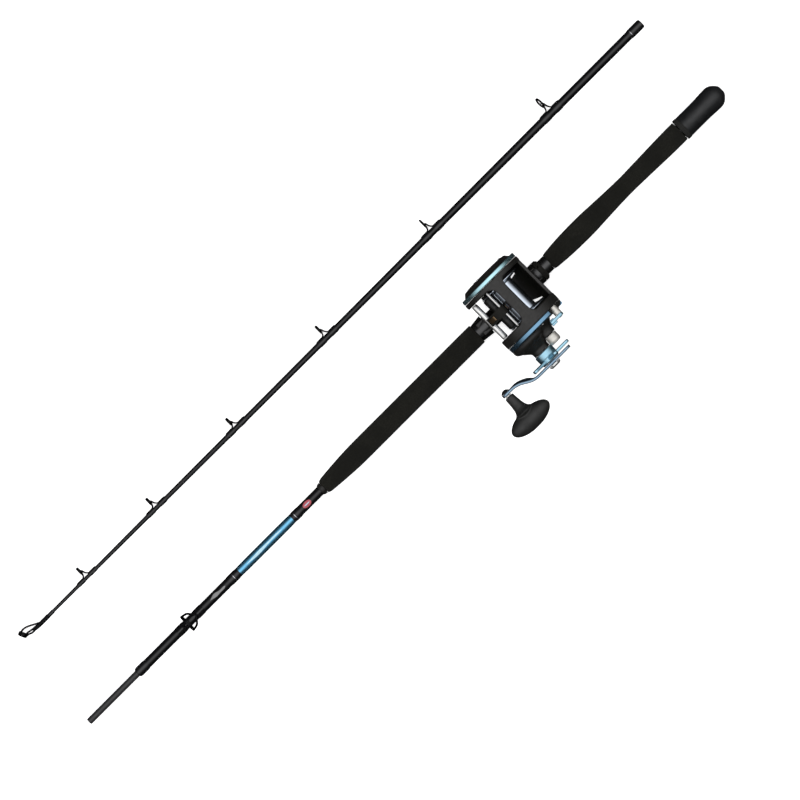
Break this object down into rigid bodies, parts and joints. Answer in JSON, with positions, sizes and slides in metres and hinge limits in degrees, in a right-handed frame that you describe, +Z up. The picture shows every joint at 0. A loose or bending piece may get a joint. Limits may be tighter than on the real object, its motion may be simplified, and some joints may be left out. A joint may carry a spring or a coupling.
{
  "type": "fishing rod and reel",
  "caption": "Two-piece fishing rod lying apart at its joint, with foam grips, ring guides and a level-wind multiplier reel with crank and star drag.",
  "frame": {"origin": "centre of the whole object's box, on the surface that both rod sections lie on", "axes": "+X along the rod towards its tip, +Y towards the crank side, +Z up, the side the reel is on"},
  "size_m": [1.127, 0.294, 0.119],
  "materials": {
    "foam": "closed-cell foam, matte, near black",
    "butt_rubber": "moulded rubber, satin, near black",
    "gloss_blank": "black glass fibre under clear gloss coat",
    "bare_blank": "sanded grey glass fibre",
    "graphite": "moulded graphite-filled nylon, satin black",
    "guide_wire": "black plated stainless frame",
    "ring_insert": "polished hard ceramic",
    "blue_metal": "blue anodised, polished",
    "teal_metal": "cyan-blue anodised, polished",
    "spool_metal": "dark blue anodised",
    "silver_metal": "clear anodised, satin",
    "stainless": "polished stainless steel",
    "gear_brass": "machined",
    "gear_plastic": "moulded nylon",
    "drag_fibre": "woven fibre disc",
    "bronze_insert": "hard brown line guide lining",
    "knob_rubber": "soft-touch moulding, near black"
  },
  "bodies": {
    "root": {"butt_blank": "gloss_blank", "spigot": "bare_blank", "butt_cap": "butt_rubber", "rear_grip": "foam", "foregrip": "foam", "winding_check": "butt_rubber", "reel_seat_body": "graphite", "seat_front_hood": "graphite", "reel_foot": "graphite", "stripper_guide_frame": "guide_wire", "stripper_guide_ring": "ring_insert", "reel_frame": "graphite", "left_side_plate": "graphite", "left_trim_ring": "teal_metal", "right_side_plate": "graphite", "right_trim_ring": "blue_metal", "lever_post": "silver_metal", "front_bar": "stainless", "guide_rail": "stainless", "worm_tube": "graphite", "spool_bearing_left": "stainless", "spool_bearing_right": "stainless", "roller_clutch": "stainless"},
    "crank": {"drive_gear": "gear_brass", "drag_washer": "drag_fibre", "pressure_plate": "stainless", "drive_shaft": "stainless", "crank_arm": "blue_metal", "crank_nut": "silver_metal", "knob_stud": "stainless", "knob_washer": "stainless"},
    "knob": {"crank_knob": "knob_rubber"},
    "star_wheel": {"star_drag_wheel": "blue_metal"},
    "spool": {"spool": "spool_metal", "spool_shaft": "stainless", "spool_cog": "gear_plastic"},
    "pinion": {"pinion": "gear_brass"},
    "idler": {"idler_gear": "gear_plastic"},
    "worm": {"worm_shaft": "stainless", "worm_gear": "gear_plastic"},
    "line_guide": {"line_guide": "graphite", "line_guide_insert": "bronze_insert", "level_wind_pawl": "stainless"},
    "clutch_lever": {"clutch_lever": "blue_metal"},
    "cast_cap": {"cast_control_cap": "silver_metal"},
    "seat_hood": {"seat_sliding_hood": "graphite"},
    "seat_nut": {"seat_lock_nut": "graphite"},
    "tip_section": {"tip_blank": "gloss_blank", "ferrule_sleeve": "gloss_blank", "guide_1": "guide_wire", "guide_2": "guide_wire", "guide_3": "guide_wire", "guide_4": "guide_wire", "guide_5": "guide_wire", "guide_6": "guide_wire", "tip_top_frame": "guide_wire", "tip_top_ring": "ring_insert"}
  },
  "joints": [
    {"name": "crank_spin", "type": "hinge", "parent": "root", "child": "crank", "pos_m": [-0.17, 0.0105, 0.066], "axis": [0, -1, 0], "continuous": true},
    {"name": "knob_spin", "type": "hinge", "parent": "crank", "child": "knob", "pos_m": [-0.1, 0.0105, 0.066], "axis": [0, -1, 0], "continuous": true},
    {"name": "star_turn", "type": "hinge", "parent": "crank", "child": "star_wheel", "pos_m": [-0.17, 0.0105, 0.066], "axis": [0, -1, 0], "range_deg": [-180, 180]},
    {"name": "spool_spin", "type": "hinge", "parent": "root", "child": "spool", "pos_m": [-0.191, 0.0105, 0.074], "axis": [0, -1, 0], "continuous": true},
    {"name": "pinion_spin", "type": "hinge", "parent": "root", "child": "pinion", "pos_m": [-0.191, 0.0105, 0.074], "axis": [0, -1, 0], "continuous": true},
    {"name": "idler_spin", "type": "hinge", "parent": "root", "child": "idler", "pos_m": [-0.1794, 0.0105, 0.06163], "axis": [0, -1, 0], "continuous": true},
    {"name": "worm_spin", "type": "hinge", "parent": "root", "child": "worm", "pos_m": [-0.167, 0.0105, 0.0484], "axis": [0, -1, 0], "continuous": true},
    {"name": "line_guide_slide", "type": "slide", "parent": "root", "child": "line_guide", "axis": [0, 1, 0], "range_m": [-0.017, 0.017]},
    {"name": "clutch_lever_throw", "type": "hinge", "parent": "root", "child": "clutch_lever", "pos_m": [-0.217, 0.0105, 0.094], "axis": [0, -1, 0], "range_deg": [0, 45]},
    {"name": "cast_cap_turn", "type": "hinge", "parent": "root", "child": "cast_cap", "pos_m": [-0.191, 0.0105, 0.074], "axis": [0, -1, 0], "range_deg": [-180, 180]},
    {"name": "seat_hood_slide", "type": "slide", "parent": "root", "child": "seat_hood", "axis": [-1, 0, 0], "range_m": [0, 0.008]},
    {"name": "seat_nut_turn", "type": "hinge", "parent": "seat_hood", "child": "seat_nut", "pos_m": [-0.242, 0.0105, 0.0164], "axis": [-1, 0, 0], "range_deg": [0, 1440]},
    {"name": "tip_section_lift", "type": "slide", "parent": "root", "child": "tip_section", "axis": [0, 0, 1], "range_m": [0, 0.25]}
  ],
  "couplings": [
    {"joint": "spool_spin", "follows": "crank_spin", "ratio": -5.1},
    {"joint": "pinion_spin", "follows": "crank_spin", "ratio": -5.1},
    {"joint": "idler_spin", "follows": "crank_spin", "ratio": 1.9429},
    {"joint": "worm_spin", "follows": "crank_spin", "ratio": -4.08},
    {"joint": "seat_hood_slide", "follows": "seat_nut_turn", "m_per_rad": 0.000318}
  ]
}
